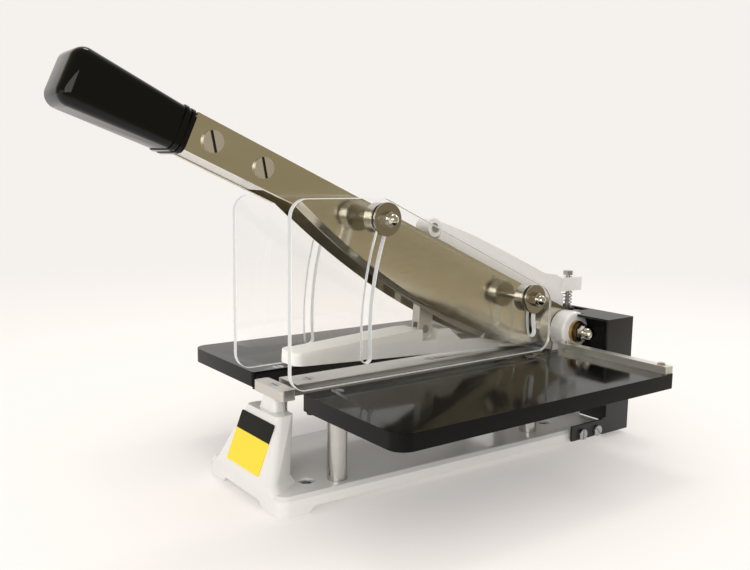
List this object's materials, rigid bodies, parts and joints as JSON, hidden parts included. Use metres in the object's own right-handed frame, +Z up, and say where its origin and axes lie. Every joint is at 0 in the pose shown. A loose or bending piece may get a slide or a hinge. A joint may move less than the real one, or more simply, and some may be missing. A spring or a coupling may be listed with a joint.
{
  "type": "sample cutter",
  "caption": "Bench sample cutter with twin lever knives either side of a narrow anvil, a pivoted hold-down bar, clear side guards, side tables and a white cast base.",
  "frame": {"origin": "on the anvil's top face, at the machine's mid-plane and the tables' mid length", "axes": "+X to the operator's right, +Y from the operator to the pivot end, +Z up, square to the anvil's face"},
  "size_m": [0.2966, 0.4884, 0.3079],
  "materials": {
    "white_enamel": "glossy white enamel on cast iron",
    "arm_enamel": "glossy white enamel, slightly orange-peeled",
    "satin_black": "satin black powder coat",
    "cover_black": "satin black powder coat on folded sheet",
    "ground_steel": "surface-ground, warm grey",
    "beam_steel": "grey primer paint",
    "knife_steel": "hardened and mirror-polished",
    "bar_steel": "milled, clear oil finish",
    "turned_steel": "turned, bright",
    "washer_steel": "tumbled bright zinc",
    "spring_bronze": "dull phosphor bronze",
    "wire_steel": "bright zinc wire",
    "bright_chrome": "bright nickel plate",
    "milled_steel": "milled bright",
    "fence_metal": "brushed along its length",
    "link_steel": "brushed, folded sheet",
    "ring_brass": "dull turned brass",
    "milky_plastic": "milky white, slightly translucent",
    "guard_acrylic": "clear acrylic sheet with polished edges",
    "grip_plastic": "glossy black moulding",
    "black_rubber": "moulded rubber",
    "label_print": "two plain bands, no words"
  },
  "bodies": {
    "frame": {"base_casting": "white_enamel", "mount_screws": "washer_steel", "table_posts": "turned_steel", "left_table": "satin_black", "right_table": "satin_black", "table_screws": "washer_steel", "table_pads": "black_rubber", "fence_bar": "fence_metal", "fence_screws": "bright_chrome", "anvil_beam": "beam_steel", "anvil_bar": "ground_steel", "anvil_screws": "washer_steel", "bench_cups": "washer_steel", "end_block": "milled_steel", "end_block_screw": "washer_steel", "label_plate": "label_print", "rear_cover": "cover_black", "cover_screws": "washer_steel", "pivot_shaft": "bar_steel", "spacer_collars": "turned_steel", "brass_rings": "ring_brass", "spring_washers": "spring_bronze", "tension_nuts": "bright_chrome", "cotter_pins": "wire_steel", "stop_bolt": "washer_steel", "spring_seat": "black_rubber", "arm_spring": "wire_steel"},
    "lever": {"left_knife": "knife_steel", "right_knife": "knife_steel", "tang_bar": "bar_steel", "knife_screws": "bright_chrome", "handle_grip": "grip_plastic", "guard_studs": "bar_steel", "stud_sleeves": "turned_steel", "guard_discs": "washer_steel", "guard_nuts": "bright_chrome", "lift_peg": "bar_steel"},
    "hold_down": {"presser_arm": "arm_enamel", "arm_pin": "washer_steel", "link_channel": "link_steel", "link_pin": "washer_steel", "presser_bar": "milky_plastic"},
    "left_guard": {"left_guard": "guard_acrylic"},
    "right_guard": {"right_guard": "guard_acrylic"}
  },
  "joints": [
    {"name": "lever_hinge", "type": "hinge", "parent": "frame", "child": "lever", "pos_m": [0, 0.15575, 0.0132], "axis": [1, 0, 0], "range_deg": [0, 23.4]},
    {"name": "hold_down_hinge", "type": "hinge", "parent": "frame", "child": "hold_down", "pos_m": [0, 0.15575, 0.0132], "axis": [1, 0, 0], "range_deg": [0, 2.64], "deforming": ["arm_spring"]},
    {"name": "left_guard_slide", "type": "slide", "parent": "frame", "child": "left_guard", "axis": [0, -0.9528, -0.3037], "range_m": [0, 0.00939]},
    {"name": "right_guard_slide", "type": "slide", "parent": "frame", "child": "right_guard", "axis": [0, -0.9528, -0.3037], "range_m": [0, 0.00939]}
  ],
  "couplings": [
    {"joint": "hold_down_hinge", "follows": "lever_hinge", "ratio": 0.11239},
    {"joint": "left_guard_slide", "follows": "lever_hinge", "m_per_rad": 0.022975},
    {"joint": "right_guard_slide", "follows": "lever_hinge", "m_per_rad": 0.022975}
  ]
}
